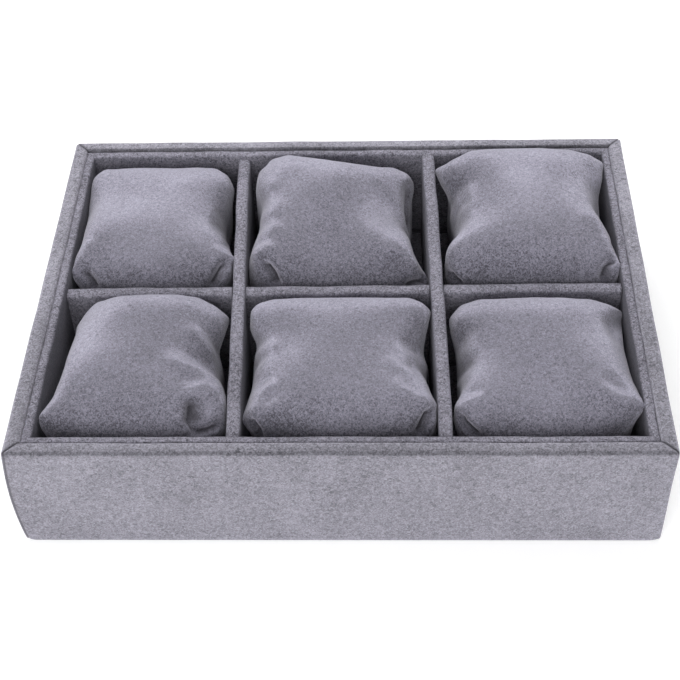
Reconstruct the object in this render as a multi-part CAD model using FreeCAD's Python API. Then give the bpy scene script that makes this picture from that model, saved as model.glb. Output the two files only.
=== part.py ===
import FreeCAD, Part
import math
import os

# Velvet jewelry tray: a boxed tray, wrapped and lined in velvet, with half-lapped dividers that make
# six cells and a loose stuffed pillow in each. Millimetres. The origin is the centre of the underside,
# +X runs to the right, +Y to the back and +Z up, as seen by someone who faces the front wall.

# Outer size of the tray
tray_width = 250.0
tray_depth = 186.0
rim_height = 54.0

# Velvet, and how far a fold of it stands off the board edge that it goes over
velvet_thickness = 0.7
fold_ease = 0.2

# Bottom: felt sheet, the wrap's turned-under flaps, base board and floor lining
felt_thickness = 0.8
felt_margin = 3.0
base_board_thickness = 3.0
bottom_flap_width = 15.0

# Walls
wall_board_thickness = 4.6
rim_edge_radius = 2.0
seam_gap = 0.4
mitre_seam_depth = 3.2

# Lining strips inside the walls
liner_card_thickness = 2.2
liner_drop = 1.0
liner_edge_radius = 1.7
liner_end_clearance = 0.2

# Dividers, put in by hand: they stand a little off centre and lean a little in plan
divider_board_thickness = 4.0
divider_drop = 4.0
divider_edge_radius = 2.6
divider_end_clearance = 0.3
lap_clearance = 0.3
left_divider_shift = -3.9
right_divider_shift = -0.5
left_divider_lean_deg = 2.4
right_divider_lean_deg = 1.15
cross_divider_shift = -1.05
cross_divider_lean_deg = 0.45
lap_height_share = 0.5

# Pillows: the room round each, and the cloth of its cover
pillow_floor_gap = 0.3
pillow_ear_gap = 0.8
pillow_front_gap = 2.6
pillow_back_gap = 2.6
pillow_cover_thickness = 1.0
filling_gap = 0.3

# How far each pillow's crown stands above the rim, how much higher its left shoulder is than its right,
# and the room that its drawn-in left and right sides leave beside them
pillow_sizes = {
    "back_left": {"crown_rise": 3.5, "shoulder_tilt": 0.0, "left_waist_gap": 3.6, "right_waist_gap": 3.2},
    "back_middle": {"crown_rise": 6.5, "shoulder_tilt": 7.0, "left_waist_gap": 4.6, "right_waist_gap": 8.6},
    "back_right": {"crown_rise": 9.0, "shoulder_tilt": 0.0, "left_waist_gap": 7.0, "right_waist_gap": 5.0},
    "front_left": {"crown_rise": 5.0, "shoulder_tilt": 1.0, "left_waist_gap": 5.0, "right_waist_gap": 6.0},
    "front_middle": {"crown_rise": 4.0, "shoulder_tilt": 0.0, "left_waist_gap": 5.0, "right_waist_gap": 5.4},
    "front_right": {"crown_rise": 4.0, "shoulder_tilt": -1.0, "left_waist_gap": 5.0, "right_waist_gap": 5.2},
}

# Pillow sections from front to back, as shares of its size: place along the half depth, how far the sides
# are drawn in from ear to waist, how far the end rounds inward, and the heights of the underside, the
# widest line, the shoulders and the crown
pillow_section_shares = [
    {"along": -1.0, "waist": 0.0, "end": 0.34, "foot": 0.24, "widest": 0.46, "shoulder": 0.58, "crown": 0.62},
    {"along": -0.9, "waist": 0.0, "end": 0.10, "foot": 0.08, "widest": 0.62, "shoulder": 0.78, "crown": 0.83},
    {"along": -0.66, "waist": 0.0, "end": 0.0, "foot": 0.01, "widest": 0.76, "shoulder": 0.90, "crown": 0.95},
    {"along": -0.3, "waist": 1.0, "end": 0.0, "foot": 0.0, "widest": 0.62, "shoulder": 0.91, "crown": 1.0},
    {"along": 0.3, "waist": 1.0, "end": 0.0, "foot": 0.0, "widest": 0.62, "shoulder": 0.91, "crown": 1.0},
    {"along": 0.66, "waist": 0.0, "end": 0.0, "foot": 0.01, "widest": 0.76, "shoulder": 0.90, "crown": 0.95},
    {"along": 0.9, "waist": 0.0, "end": 0.10, "foot": 0.08, "widest": 0.62, "shoulder": 0.78, "crown": 0.83},
    {"along": 1.0, "waist": 0.0, "end": 0.34, "foot": 0.24, "widest": 0.46, "shoulder": 0.58, "crown": 0.62},
]
foot_inset_share = 0.30
shoulder_inset_share = 0.24
edge_round_limit_share = 0.48

# Past the faces that a cut goes through
cut_overrun = 2.0

# Levels, from the underside up
flap_top = felt_thickness + velvet_thickness
base_top = flap_top + base_board_thickness
floor_top = base_top + velvet_thickness
liner_top = rim_height - liner_drop
divider_top = rim_height - divider_drop
lap_level = floor_top + (divider_top - floor_top) * lap_height_share

# Thicknesses with their velvet, and the room left inside
wall_thickness = wall_board_thickness + 2 * velvet_thickness
liner_thickness = liner_card_thickness + 2 * velvet_thickness
divider_thickness = divider_board_thickness + 2 * velvet_thickness
well_width = tray_width - 2 * wall_thickness
well_depth = tray_depth - 2 * wall_thickness
inner_width = well_width - 2 * liner_thickness
inner_depth = well_depth - 2 * liner_thickness

# Where the long dividers cross the cross divider, from equal cells and each one's own shift
cell_pitch = (inner_width + divider_thickness) / 3
long_dividers = {
    "left_divider": {"x": left_divider_shift - cell_pitch / 2, "lean": left_divider_lean_deg},
    "right_divider": {"x": right_divider_shift + cell_pitch / 2, "lean": right_divider_lean_deg},
}


def vector(x, y, z):
    return FreeCAD.Vector(x, y, z)


def block(x_low, x_high, y_low, y_high, z_low, z_high):
    """Box between two corners."""
    return Part.makeBox(x_high - x_low, y_high - y_low, z_high - z_low, vector(x_low, y_low, z_low))


def centred_block(width, depth, z_low, z_high):
    """Box about the Z axis."""
    return block(-width / 2, width / 2, -depth / 2, depth / 2, z_low, z_high)


def side_arc(widest, end):
    """Arc in an XZ plane that leaves a section's widest point straight up or down and turns in to its end."""
    inward = end.x - widest.x
    rise = end.z - widest.z
    radius = (inward ** 2 + rise ** 2) / (2 * inward)
    half_turn = math.atan2(abs(inward), abs(rise))
    middle_x = widest.x + radius * (1 - math.cos(half_turn))
    middle_z = widest.z + math.copysign(radius, rise) * math.sin(half_turn)
    return Part.Arc(widest, vector(middle_x, widest.y, middle_z), end).toShape()


def strip(length, thickness, bottom, top, edge_radius):
    """Upright strip along X with its two long top edges rounded."""
    radius = min(edge_radius, thickness * edge_round_limit_share)
    half = thickness / 2
    start = -length / 2
    corner = radius * math.sqrt(0.5)
    back_foot = vector(start, half, bottom)
    back_spring = vector(start, half, top - radius)
    back_arc = vector(start, half - radius + corner, top - radius + corner)
    back_crest = vector(start, half - radius, top)
    front_crest = vector(start, radius - half, top)
    front_arc = vector(start, radius - half - corner, top - radius + corner)
    front_spring = vector(start, -half, top - radius)
    front_foot = vector(start, -half, bottom)
    edges = [
        Part.makeLine(front_foot, back_foot),
        Part.makeLine(back_foot, back_spring),
        Part.Arc(back_spring, back_arc, back_crest).toShape(),
        Part.makeLine(back_crest, front_crest),
        Part.Arc(front_crest, front_arc, front_spring).toShape(),
        Part.makeLine(front_spring, front_foot),
    ]
    return Part.Face(Part.Wire(edges)).extrude(vector(length, 0, 0))


def placed(shape, x, y, turn_deg):
    """Copy of a shape turned about Z and then moved."""
    copy = shape.copy()
    copy.Placement = FreeCAD.Placement(vector(x, y, 0), FreeCAD.Rotation(vector(0, 0, 1), turn_deg))
    return copy


# Each wall's turn about Z, from the front wall, and whether it runs across the width
wall_sides = {
    "front": {"turn": 0, "across": True},
    "right": {"turn": 90, "across": False},
    "back": {"turn": 180, "across": True},
    "left": {"turn": 270, "across": False},
}


def mitred_ring_side(side, thickness, inset, bottom, top, edge_radius):
    """One side of a ring of strips inside the tray's outline, mitred at both ends."""
    across = wall_sides[side]["across"]
    length = (tray_width if across else tray_depth) - 2 * inset
    offset = (tray_depth if across else tray_width) / 2 - inset - thickness / 2
    bar = strip(length, thickness, bottom, top, edge_radius)
    bar.translate(vector(0, -offset, 0))
    outer = offset + thickness / 2
    reach = length / 2
    wedge = Part.makePolygon([
        vector(-reach, -outer, bottom),
        vector(reach, -outer, bottom),
        vector(reach - thickness, thickness - outer, bottom),
        vector(thickness - reach, thickness - outer, bottom),
        vector(-reach, -outer, bottom),
    ])
    prism = Part.Face(wedge).extrude(vector(0, 0, top - bottom))
    return placed(bar.common(prism), 0, 0, wall_sides[side]["turn"])


def wall_board(side):
    """Board of one wall, standing on the base board, mitred at the corners."""
    top = rim_height - velvet_thickness - fold_ease
    radius = rim_edge_radius - velvet_thickness
    return mitred_ring_side(side, wall_board_thickness, velvet_thickness, base_top, top, radius)


def corner_slit(x_sign, y_sign, run, z_low, z_high):
    """Thin cut along a corner's mitre, from outside the corner inwards."""
    slit = block(-cut_overrun, run, -seam_gap / 2, seam_gap / 2, z_low, z_high)
    angle = math.degrees(math.atan2(-y_sign, -x_sign))
    return placed(slit, x_sign * tray_width / 2, y_sign * tray_depth / 2, angle)


def outer_wrap():
    """One strip of velvet up the outside, over the rim and down inside, its lower edge turned under.

    Its top and its flaps are cut along the mitre at each corner, and its ends meet at the front left.
    """
    sides = []
    for side in wall_sides:
        skin = mitred_ring_side(side, wall_thickness, 0, felt_thickness, rim_height, rim_edge_radius)
        hollow = mitred_ring_side(
            side,
            wall_board_thickness,
            velvet_thickness,
            base_top,
            rim_height - velvet_thickness,
            rim_edge_radius - velvet_thickness,
        )
        sides.append(skin.cut(hollow))
    flaps = centred_block(tray_width, tray_depth, felt_thickness, flap_top)
    flap_window = centred_block(
        tray_width - 2 * bottom_flap_width, tray_depth - 2 * bottom_flap_width, felt_thickness, flap_top
    )
    sides.append(flaps.cut(flap_window))
    wrap = sides[0].fuse(sides[1:])
    base_room = centred_block(
        tray_width - 2 * velvet_thickness, tray_depth - 2 * velvet_thickness, flap_top, base_top
    )
    cuts = [base_room]
    rim_run = wall_thickness * math.sqrt(2) + cut_overrun
    flap_run = bottom_flap_width * math.sqrt(2) + cut_overrun
    for x_sign in (-1, 1):
        for y_sign in (-1, 1):
            seam_bottom = rim_height - mitre_seam_depth
            cuts.append(corner_slit(x_sign, y_sign, rim_run, seam_bottom, rim_height + cut_overrun))
            cuts.append(corner_slit(x_sign, y_sign, flap_run, 0, flap_top))
    strip_end_run = 2 * velvet_thickness * math.sqrt(2)
    cuts.append(corner_slit(-1, -1, strip_end_run, 0, rim_height))
    return wrap.cut(cuts).removeSplitter()


def bottom_felt():
    """Felt sheet over the flaps, pressed up against the base board inside them."""
    sheet = centred_block(tray_width - 2 * felt_margin, tray_depth - 2 * felt_margin, 0, felt_thickness)
    pad = centred_block(
        tray_width - 2 * bottom_flap_width, tray_depth - 2 * bottom_flap_width, felt_thickness, flap_top
    )
    return sheet.fuse(pad).removeSplitter()


def base_board():
    """Board under the walls and the floor lining."""
    return centred_block(
        tray_width - 2 * velvet_thickness, tray_depth - 2 * velvet_thickness, flap_top, base_top
    )


def floor_velvet():
    """Velvet sheet over the base board, wall to wall."""
    return centred_block(well_width, well_depth, base_top, floor_top)


def folded_strip(length, board_thickness, top, edge_radius):
    """Board on the floor lining and the velvet folded over it, both along X about the Z axis."""
    thickness = board_thickness + 2 * velvet_thickness
    board_radius = edge_radius - velvet_thickness
    board = strip(length, board_thickness, floor_top, top - velvet_thickness - fold_ease, board_radius)
    cover = strip(length, thickness, floor_top, top, edge_radius)
    room = strip(length, board_thickness, floor_top, top - velvet_thickness, board_radius)
    return board, cover.cut(room)


def liner(side):
    """Card of one lining strip and the velvet folded over it."""
    across = wall_sides[side]["across"]
    length = (well_width if across else inner_depth) - 2 * liner_end_clearance
    offset = (well_depth if across else well_width) / 2 - liner_thickness / 2
    turn = math.radians(wall_sides[side]["turn"])
    pieces = folded_strip(length, liner_card_thickness, liner_top, liner_edge_radius)
    x = offset * math.sin(turn)
    y = -offset * math.cos(turn)
    return [placed(piece, x, y, wall_sides[side]["turn"]) for piece in pieces]


def divider_length(room, lean_deg):
    """Length of a leaning divider whose corners keep their clearance in the room between two linings."""
    lean = math.radians(lean_deg)
    return (room - 2 * divider_end_clearance - divider_thickness * math.sin(lean)) / math.cos(lean)


def cross_line(x):
    """Y of the cross divider's middle at a place along X."""
    return cross_divider_shift + x * math.tan(math.radians(cross_divider_lean_deg))


def crossing(name):
    """Where the middles of a long divider and the cross divider meet in plan."""
    lean = math.tan(math.radians(long_dividers[name]["lean"]))
    cross_lean = math.tan(math.radians(cross_divider_lean_deg))
    x = (long_dividers[name]["x"] - cross_divider_shift * lean) / (1 + cross_lean * lean)
    return x, cross_line(x)


def lap_slot(z_low, z_high):
    """Cut for a half-lap, along X about the Z axis, through a divider and its clearance."""
    half_slot = divider_thickness / 2 + lap_clearance
    return block(-divider_thickness, divider_thickness, -half_slot, half_slot, z_low, z_high)


def long_divider(name):
    """Board and velvet of a divider from front to back, slotted from below over the cross divider."""
    length = divider_length(inner_depth, long_dividers[name]["lean"])
    slot = placed(lap_slot(0, lap_level + lap_clearance), *crossing(name), cross_divider_lean_deg)
    turn = 90 + long_dividers[name]["lean"]
    pieces = folded_strip(length, divider_board_thickness, divider_top, divider_edge_radius)
    return [placed(piece, long_dividers[name]["x"], 0, turn).cut(slot) for piece in pieces]


def cross_divider():
    """Board and velvet of the divider across the width, slotted from above under the long dividers."""
    length = divider_length(inner_width, cross_divider_lean_deg)
    slots = []
    for name, divider in long_dividers.items():
        slots.append(placed(lap_slot(lap_level, rim_height), *crossing(name), 90 + divider["lean"]))
    pieces = folded_strip(length, divider_board_thickness, divider_top, divider_edge_radius)
    return [placed(piece, 0, cross_divider_shift, cross_divider_lean_deg).cut(slots) for piece in pieces]


def divider_face(name, y, side):
    """X of a long divider's left (-1) or right (+1) face at a place along Y."""
    lean = math.radians(long_dividers[name]["lean"])
    half = divider_thickness / 2 / math.cos(lean)
    return long_dividers[name]["x"] - y * math.tan(lean) + side * half


def cell_faces(column, y):
    """X of the two faces of a column of cells at a place along Y."""
    if column == "left":
        return -inner_width / 2, divider_face("left_divider", y, -1)
    if column == "middle":
        return divider_face("left_divider", y, 1), divider_face("right_divider", y, -1)
    return divider_face("right_divider", y, 1), inner_width / 2


def cell_ends(row, column):
    """Y of the front and back of the room in a cell, clear of the cross divider all along."""
    middles = [cross_line(x) for x in cell_faces(column, 0)]
    half = divider_thickness / 2 / math.cos(math.radians(cross_divider_lean_deg))
    if row == "front":
        return -inner_depth / 2, min(middles) - half
    return max(middles) + half, inner_depth / 2


def pillow_section(name, share, inset):
    """Closed outline of a pillow across its depth, all round by inset smaller than the outside."""
    sizes = pillow_sizes[name]
    row, column = name.split("_")
    front, back = cell_ends(row, column)
    front = front + pillow_front_gap + inset
    back = back - pillow_back_gap - inset
    y = (front + back) / 2 + share["along"] * (back - front) / 2
    left_face, right_face = cell_faces(column, y)
    left_draw = (sizes["left_waist_gap"] - pillow_ear_gap) * share["waist"]
    right_draw = (sizes["right_waist_gap"] - pillow_ear_gap) * share["waist"]
    half_width = (right_face - left_face) / 2 - pillow_ear_gap
    rounding = half_width * share["end"]
    left = left_face + pillow_ear_gap + left_draw + rounding + inset
    right = right_face - pillow_ear_gap - right_draw - rounding - inset
    foot = floor_top + pillow_floor_gap + inset
    height = rim_height + sizes["crown_rise"] - inset - foot
    tilt = sizes["shoulder_tilt"] / 2
    foot_inset = (right - left) / 2 * foot_inset_share
    shoulder_inset = (right - left) / 2 * shoulder_inset_share
    foot_z = foot + height * share["foot"]
    widest_z = foot + height * share["widest"]
    shoulder_z = foot + height * share["shoulder"]
    crown_z = foot + height * share["crown"]
    foot_left = vector(left + foot_inset, y, foot_z)
    foot_right = vector(right - foot_inset, y, foot_z)
    widest_right = vector(right, y, widest_z - tilt)
    shoulder_right = vector(right - shoulder_inset, y, shoulder_z - tilt)
    shoulder_left = vector(left + shoulder_inset, y, shoulder_z + tilt)
    widest_left = vector(left, y, widest_z + tilt)
    crown = vector((left + right) / 2, y, crown_z)
    edges = [
        Part.makeLine(foot_left, foot_right),
        side_arc(widest_right, foot_right),
        side_arc(widest_right, shoulder_right),
        Part.Arc(shoulder_right, crown, shoulder_left).toShape(),
        side_arc(widest_left, shoulder_left),
        side_arc(widest_left, foot_left),
    ]
    return Part.Wire(edges)


def pillow_form(name, inset):
    """Crowned pillow with its sides drawn in between its ears, smaller than the outside by inset."""
    return Part.makeLoft([pillow_section(name, share, inset) for share in pillow_section_shares], True, False)


def pillow(name):
    """Sewn cover and filling of one pillow."""
    cover = pillow_form(name, 0).cut(pillow_form(name, pillow_cover_thickness))
    filling = pillow_form(name, pillow_cover_thickness + filling_gap)
    return cover, filling


def tray_nodes():
    """Every piece of the tray, by its name."""
    nodes = {
        "bottom_felt": bottom_felt(),
        "base_board": base_board(),
        "outer_wrap_velvet": outer_wrap(),
        "floor_velvet": floor_velvet(),
    }
    for side in wall_sides:
        nodes[side + "_wall_board"] = wall_board(side)
        nodes[side + "_liner_card"], nodes[side + "_liner_velvet"] = liner(side)
    for name in long_dividers:
        nodes[name + "_board"], nodes[name + "_velvet"] = long_divider(name)
    nodes["cross_divider_board"], nodes["cross_divider_velvet"] = cross_divider()
    for name in pillow_sizes:
        nodes[name + "_pillow_cover"], nodes[name + "_pillow_filling"] = pillow(name)
    return nodes


os.makedirs("parts", exist_ok=True)
for node_name, shape in tray_nodes().items():
    shape.exportStep(os.path.join("parts", node_name + ".step"))
    print(node_name, shape.isValid(), len(shape.Solids), round(shape.Volume, 1))
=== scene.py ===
"""Velvet jewelry tray with six loose pillows: its looks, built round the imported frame.

Lengths in the classes below are millimetres, as a maker would give them, and become metres when a mesh is
made. The tray stands on the origin, its long side along X and its front towards -Y.
"""

import logging
import math
from dataclasses import dataclass, field
from enum import Enum

import bmesh
import bpy
import numpy as np
from bpy.types import Material, Mesh, Node, NodeSocket, NodeTree, Object, bpy_prop_collection
from mathutils import Matrix, Vector, noise
from mathutils.bvhtree import BVHTree

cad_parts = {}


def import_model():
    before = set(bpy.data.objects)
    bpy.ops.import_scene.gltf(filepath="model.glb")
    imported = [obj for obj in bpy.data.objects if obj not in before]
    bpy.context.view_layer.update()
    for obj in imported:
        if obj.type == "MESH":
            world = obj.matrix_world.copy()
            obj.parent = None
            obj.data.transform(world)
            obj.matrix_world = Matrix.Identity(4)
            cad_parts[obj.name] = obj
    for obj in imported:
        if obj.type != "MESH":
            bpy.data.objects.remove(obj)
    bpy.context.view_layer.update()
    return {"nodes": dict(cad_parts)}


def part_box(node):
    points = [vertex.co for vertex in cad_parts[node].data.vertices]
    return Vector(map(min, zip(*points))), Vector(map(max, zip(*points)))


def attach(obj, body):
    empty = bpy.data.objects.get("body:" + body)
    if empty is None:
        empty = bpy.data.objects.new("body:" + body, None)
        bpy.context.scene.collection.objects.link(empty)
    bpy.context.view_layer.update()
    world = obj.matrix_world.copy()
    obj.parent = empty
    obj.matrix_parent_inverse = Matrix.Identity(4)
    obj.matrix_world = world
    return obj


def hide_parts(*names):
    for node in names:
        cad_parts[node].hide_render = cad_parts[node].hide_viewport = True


LOG = logging.getLogger("jewelry_tray")
MM = 0.001
TINY = 1e-6
PHOTO_SIZE_PX = 680
PATH_STEP_PX = 3
SEAM_AND_SHADE_ATTRIBUTE = "seam"
SEED_STEPS = (1.0, 1.7, 2.3)

Colour = tuple[float, float, float, float]
Pixel = tuple[float, float]
Point = tuple[float, float, float]
Input = NodeSocket | float | tuple[float, ...]
Inputs = dict[str | int, Input]

WHITE: Colour = (1.0, 1.0, 1.0, 1.0)


class Side(Enum):
    """A side of the tray, with the direction from its centre to that side."""

    FRONT = (0, -1)
    RIGHT = (1, 0)
    BACK = (0, 1)
    LEFT = (-1, 0)


class Row(Enum):
    """A row of cells."""

    FRONT = "front"
    BACK = "back"


class Column(Enum):
    """A column of cells."""

    LEFT = "left"
    MIDDLE = "middle"
    RIGHT = "right"


class FoldKind(Enum):
    """How a fold lies on a pillow: pressed in, raised, or one layer tucked under the next."""

    VALLEY = "valley"
    RIDGE = "ridge"
    TUCK = "tuck"


VALLEY, RIDGE, TUCK = FoldKind


def node_box_mm(node: str) -> tuple[np.ndarray, np.ndarray]:
    """The lowest and highest corner of a node of the frame, in millimetres."""
    low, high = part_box(node)
    return np.array(low) / MM, np.array(high) / MM


def fill_mesh(mesh: Mesh, points: np.ndarray, faces: list[tuple[int, ...]]) -> None:
    """Puts points in millimetres and smooth-shaded faces in an empty mesh.

    Args:
        mesh: the mesh.
        points: one row for each vertex.
        faces: the vertex numbers of each face.
    """
    mesh.from_pydata((points * MM).tolist(), [], faces)
    mesh.update()
    mesh.shade_smooth()


def mesh_object(name: str, points: np.ndarray, faces: list[tuple[int, ...]]) -> Object:
    """Smooth-shaded mesh from points in millimetres.

    Args:
        name: the object's name.
        points: one row for each vertex.
        faces: the vertex numbers of each face.

    Returns:
        The new object, linked to the scene.
    """
    piece = bpy.data.objects.new(name, bpy.data.meshes.new(name))
    fill_mesh(piece.data, points, faces)
    bpy.context.scene.collection.objects.link(piece)
    return piece


def tube_faces(rows: int, count: int, closed: bool) -> list[tuple[int, ...]]:
    """Faces between rings of vertices that follow one another.

    Args:
        rows: how many rings there are.
        count: how many vertices each ring has.
        closed: whether the last ring joins the first.

    Returns:
        The vertex numbers of each face.
    """
    faces = []
    for row in range(rows if closed else rows - 1):
        near = row * count
        far = (row + 1) % rows * count
        for j in range(count):
            k = (j + 1) % count
            faces.append((near + j, near + k, far + k, far + j))
    return faces


def read_rows(vertices: bpy_prop_collection, key: str) -> np.ndarray:
    """Three numbers of each vertex.

    Args:
        vertices: a mesh's vertices or vertex normals.
        key: what the three numbers are called there.

    Returns:
        One row for each vertex.
    """
    flat = np.empty(len(vertices) * 3, dtype=np.float32)
    vertices.foreach_get(key, flat)
    return flat.reshape(-1, 3).astype(float)


def mesh_points_mm(mesh: Mesh) -> np.ndarray:
    """Vertices of a mesh as rows, in millimetres."""
    return read_rows(mesh.vertices, "co") / MM


def mesh_normals(mesh: Mesh) -> np.ndarray:
    """Vertex normals of a mesh as rows."""
    return read_rows(mesh.vertex_normals, "vector")


def set_mesh_points_mm(mesh: Mesh, points: np.ndarray) -> None:
    """Moves the vertices of a mesh to rows of millimetres."""
    mesh.vertices.foreach_set("co", (points * MM).astype(np.float32).ravel())
    mesh.update()


def mesh_tree(mesh: Mesh) -> BVHTree:
    """The faces of a mesh in millimetres, to cast rays on."""
    return BVHTree.FromPolygons(mesh_points_mm(mesh).tolist(), [p.vertices[:] for p in mesh.polygons])


def mark_seam_and_shade(mesh: Mesh, weights: np.ndarray) -> None:
    """Notes on a mesh, from 0 to 1 at each vertex, how dark its colour goes: dark joints at cut seams, and
    painted shade in grooves and folds.
    """
    seam = mesh.attributes.new(SEAM_AND_SHADE_ATTRIBUTE, "FLOAT", "POINT")
    seam.data.foreach_set("value", weights.astype(np.float32))


def wander(points: np.ndarray, wavelength: float, seed: float) -> np.ndarray:
    """Smooth unevenness, from about -1 to 1, at rows of millimetres; the seed tells pieces apart."""
    shift = Vector([seed * step for step in SEED_STEPS])
    return np.array([noise.noise(Vector(p) / wavelength + shift) for p in points])


@dataclass(frozen=True)
class Wave:
    """Unevenness of a piece: its height, its wavelength in millimetres and its seed."""

    height: float
    length: float
    seed: float

    def at(self, points: np.ndarray, seed: float = 0.0) -> np.ndarray:
        """The unevenness at rows of millimetres, with a further seed of the piece."""
        return self.height * wander(points, self.length, self.seed + seed)


@dataclass(frozen=True)
class NodeSketch:
    """Shorthand for drawing the nodes of one tree. An input is fed from an output or with a constant."""

    tree: NodeTree

    def add(self, kind: str, inputs: Inputs | None = None, **settings: object) -> Node:
        """Adds a node.

        Args:
            kind: the node's type.
            inputs: what goes into its inputs, by name or number.
            settings: its properties.

        Returns:
            The node.
        """
        node = self.tree.nodes.new(kind)
        for name, value in settings.items():
            setattr(node, name, value)
        self.feed(node, inputs or {})
        return node

    def feed(self, node: Node, inputs: Inputs) -> None:
        """Gives a node its inputs.

        Args:
            node: the node.
            inputs: what goes into its inputs, by name or number.
        """
        for name, value in inputs.items():
            if isinstance(value, NodeSocket):
                self.tree.links.new(value, node.inputs[name])
            else:
                node.inputs[name].default_value = value

    def math(self, operation: str, first: Input, second: Input) -> NodeSocket:
        """The result of one sum of two values."""
        return self.add("ShaderNodeMath", {0: first, 1: second}, operation=operation).outputs[0]

    def mix(self, first: Input, second: Input, share: Input, kind: str = "FLOAT") -> NodeSocket:
        """Two values, or two colours of kind RGBA, mixed by the share of the second."""
        inputs = {"Factor": share, "A": first, "B": second}
        return self.add("ShaderNodeMix", inputs, data_type=kind).outputs["Result"]

    def scale(self, colour: Input, factor: Input) -> NodeSocket:
        """A colour times a value."""
        inputs = {0: colour, "Scale": factor}
        return self.add("ShaderNodeVectorMath", inputs, operation="SCALE").outputs["Vector"]

    def map_range(
        self, value: Input, low: Input, high: Input, start: float = 0.0, stop: float = 1.0, **more: object
    ) -> NodeSocket:
        """Spreads the run of a value from start to stop over another run, from low to high."""
        inputs = {"Value": value, "From Min": start, "From Max": stop, "To Min": low, "To Max": high}
        return self.add("ShaderNodeMapRange", inputs, **more).outputs["Result"]

    def bump(self, height: Input, distance_mm: float, strength: float = 1.0) -> NodeSocket:
        """Normals of a bumpy surface."""
        inputs = {"Height": height, "Distance": distance_mm * MM, "Strength": strength}
        return self.add("ShaderNodeBump", inputs).outputs["Normal"]


def blank_material(name: str) -> tuple[Material, NodeSketch, Node]:
    """Makes a material to be drawn.

    Args:
        name: the material's name.

    Returns:
        The material, the sketch of its nodes and its shader.
    """
    material = bpy.data.materials.new(name)
    material.use_nodes = True
    return material, NodeSketch(material.node_tree), material.node_tree.nodes["Principled BSDF"]


def dense_path(path: tuple[Pixel, ...]) -> list[Pixel]:
    """Puts more pixels between those of a path.

    Args:
        path: pixels of the photograph in order.

    Returns:
        The denser path.
    """
    dense = []
    for (u0, v0), (u1, v1) in zip(path, path[1:]):
        count = max(2, int(math.hypot(u1 - u0, v1 - v0) / PATH_STEP_PX))
        dense += [(u0 + (u1 - u0) * k / count, v0 + (v1 - v0) * k / count) for k in range(count)]
    return dense + [path[-1]]


def shortened(move: np.ndarray, longest: float) -> np.ndarray:
    """A move, cut to the longest that it may be."""
    return move * min(1.0, longest / max(np.linalg.norm(move), TINY))


@dataclass(frozen=True)
class PhotoCamera:
    """The camera that sees the tray as the photograph does."""

    eye: Point = (19.03, -419.98, 452.06)
    pitch_deg: float = 45.903
    yaw_deg: float = -2.870
    roll_deg: float = -2.301
    focal_px: float = 1399.34
    sensor_mm: float = 36.0
    near_m: float = 0.01

    def axes(self) -> np.ndarray:
        """Works out how the camera is turned.

        Returns:
            Rows of its directions to the right, down and forward.
        """
        level = Matrix(((1, 0, 0), (0, 0, -1), (0, 1, 0)))
        roll = Matrix.Rotation(math.radians(self.roll_deg), 3, "Z")
        pitch = Matrix.Rotation(math.radians(self.pitch_deg), 3, "X")
        yaw = Matrix.Rotation(math.radians(self.yaw_deg), 3, "Z")
        return np.array(roll @ pitch @ level @ yaw)

    def build(self) -> Object:
        """Makes the camera and sets it as the scene's.

        Returns:
            The camera object.
        """
        data = bpy.data.cameras.new("photo_camera")
        data.sensor_width = self.sensor_mm
        data.lens = self.focal_px / PHOTO_SIZE_PX * self.sensor_mm
        data.clip_start = self.near_m
        camera = bpy.data.objects.new("photo_camera", data)
        right, down, forward = self.axes()
        turn = Matrix((right, -down, -forward)).transposed()
        camera.matrix_world = Matrix.Translation(Vector(self.eye) * MM) @ turn.to_4x4()
        bpy.context.scene.collection.objects.link(camera)
        bpy.context.scene.camera = camera
        return camera

    def ray(self, pixel: Pixel) -> np.ndarray:
        """Direction from the camera through a pixel of the photograph.

        Args:
            pixel: columns from the left and rows from the top.

        Returns:
            A unit vector.
        """
        half = PHOTO_SIZE_PX / 2
        direction = np.array([(pixel[0] - half) / self.focal_px, (pixel[1] - half) / self.focal_px, 1.0])
        direction = direction @ self.axes()
        return direction / np.linalg.norm(direction)

    def views(self, points: np.ndarray) -> tuple[np.ndarray, np.ndarray]:
        """How the camera looks at points.

        Args:
            points: rows of millimetres.

        Returns:
            The unit vector to each point, and its distance.
        """
        to_points = points - np.array(self.eye)
        distances = np.linalg.norm(to_points, axis=1)
        return to_points / distances[:, None], distances

    def project(self, points: np.ndarray) -> np.ndarray:
        """The pixels, as rows of column and row, at which points in millimetres are seen."""
        local = (points - np.array(self.eye)) @ self.axes().T
        return PHOTO_SIZE_PX / 2 + self.focal_px * local[:, :2] / local[:, 2:3]


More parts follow.
